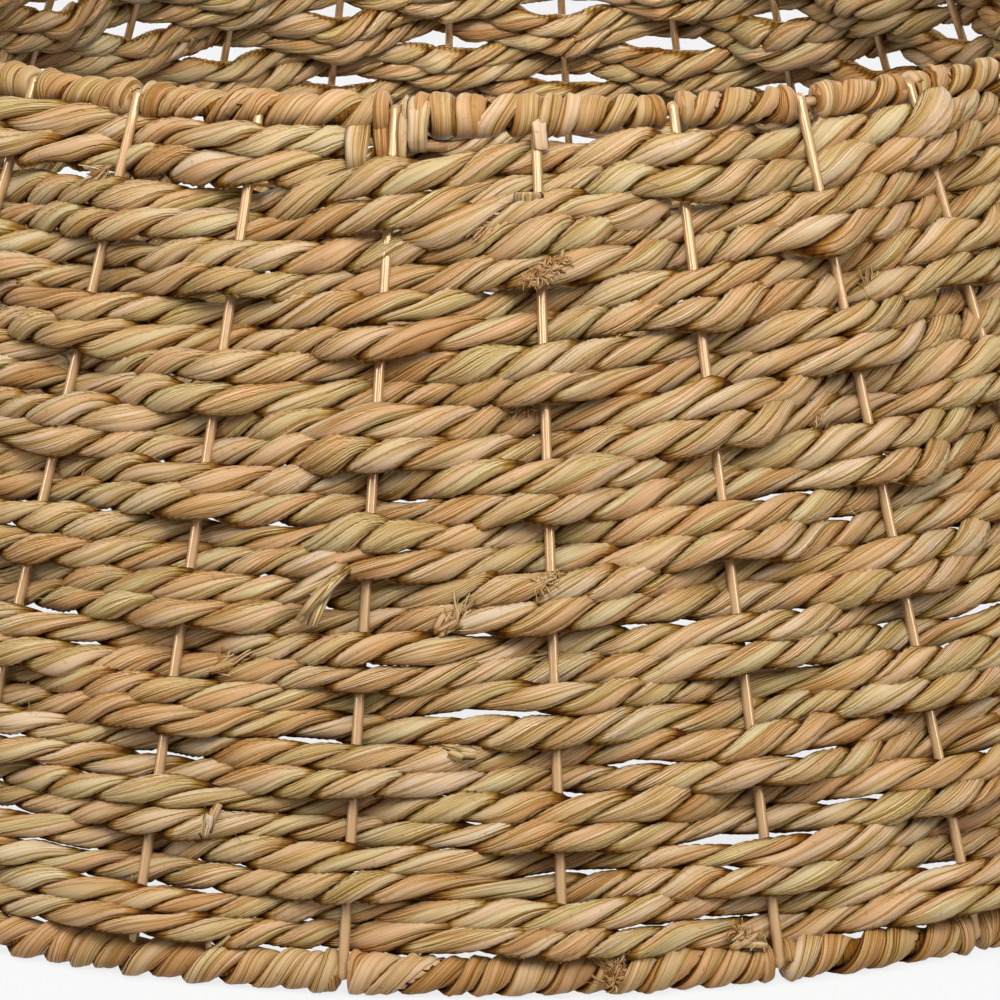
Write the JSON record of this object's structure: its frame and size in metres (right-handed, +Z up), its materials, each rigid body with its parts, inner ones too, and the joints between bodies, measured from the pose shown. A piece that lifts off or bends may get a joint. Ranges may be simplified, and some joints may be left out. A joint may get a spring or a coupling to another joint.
{
  "type": "christmas tree collar",
  "caption": "Flared, open-ended collar of twisted grass rope woven over a welded wire frame, with bound rims; stands round a tree's base to hide its stand.",
  "frame": {"origin": "on the floor, on the axis of the collar", "axes": "+Z up along the axis, -Y the pictured front"},
  "size_m": [0.7084, 0.7084, 0.2613],
  "materials": {
    "gold_wire": "satin",
    "grass_rope": "matte",
    "grass_strip": "matte"
  },
  "bodies": {
    "root": {"bottom_ring": "gold_wire", "top_ring": "gold_wire", "rib_01": "gold_wire", "rib_02": "gold_wire", "rib_03": "gold_wire", "rib_04": "gold_wire", "rib_05": "gold_wire", "rib_06": "gold_wire", "rib_07": "gold_wire", "rib_08": "gold_wire", "rib_09": "gold_wire", "rib_10": "gold_wire", "rib_11": "gold_wire", "rib_12": "gold_wire", "rib_13": "gold_wire", "rib_14": "gold_wire", "rib_15": "gold_wire", "rib_16": "gold_wire", "rib_17": "gold_wire", "rib_18": "gold_wire", "rib_19": "gold_wire", "rib_20": "gold_wire", "rib_21": "gold_wire", "rib_22": "gold_wire", "rib_23": "gold_wire", "rib_24": "gold_wire", "rib_25": "gold_wire", "rib_26": "gold_wire", "rib_27": "gold_wire", "rib_28": "gold_wire", "rib_29": "gold_wire", "rib_30": "gold_wire", "rib_31": "gold_wire", "rib_32": "gold_wire", "course_01": "grass_rope", "course_02": "grass_rope", "course_03": "grass_rope", "course_04": "grass_rope", "course_05": "grass_rope", "course_06": "grass_rope", "course_07": "grass_rope", "course_08": "grass_rope", "course_09": "grass_rope", "course_10": "grass_rope", "course_11": "grass_rope", "course_12": "grass_rope", "course_13": "grass_rope", "course_14": "grass_rope", "course_15": "grass_rope", "bottom_binding": "grass_strip", "top_binding": "grass_strip"}
  },
  "joints": []
}
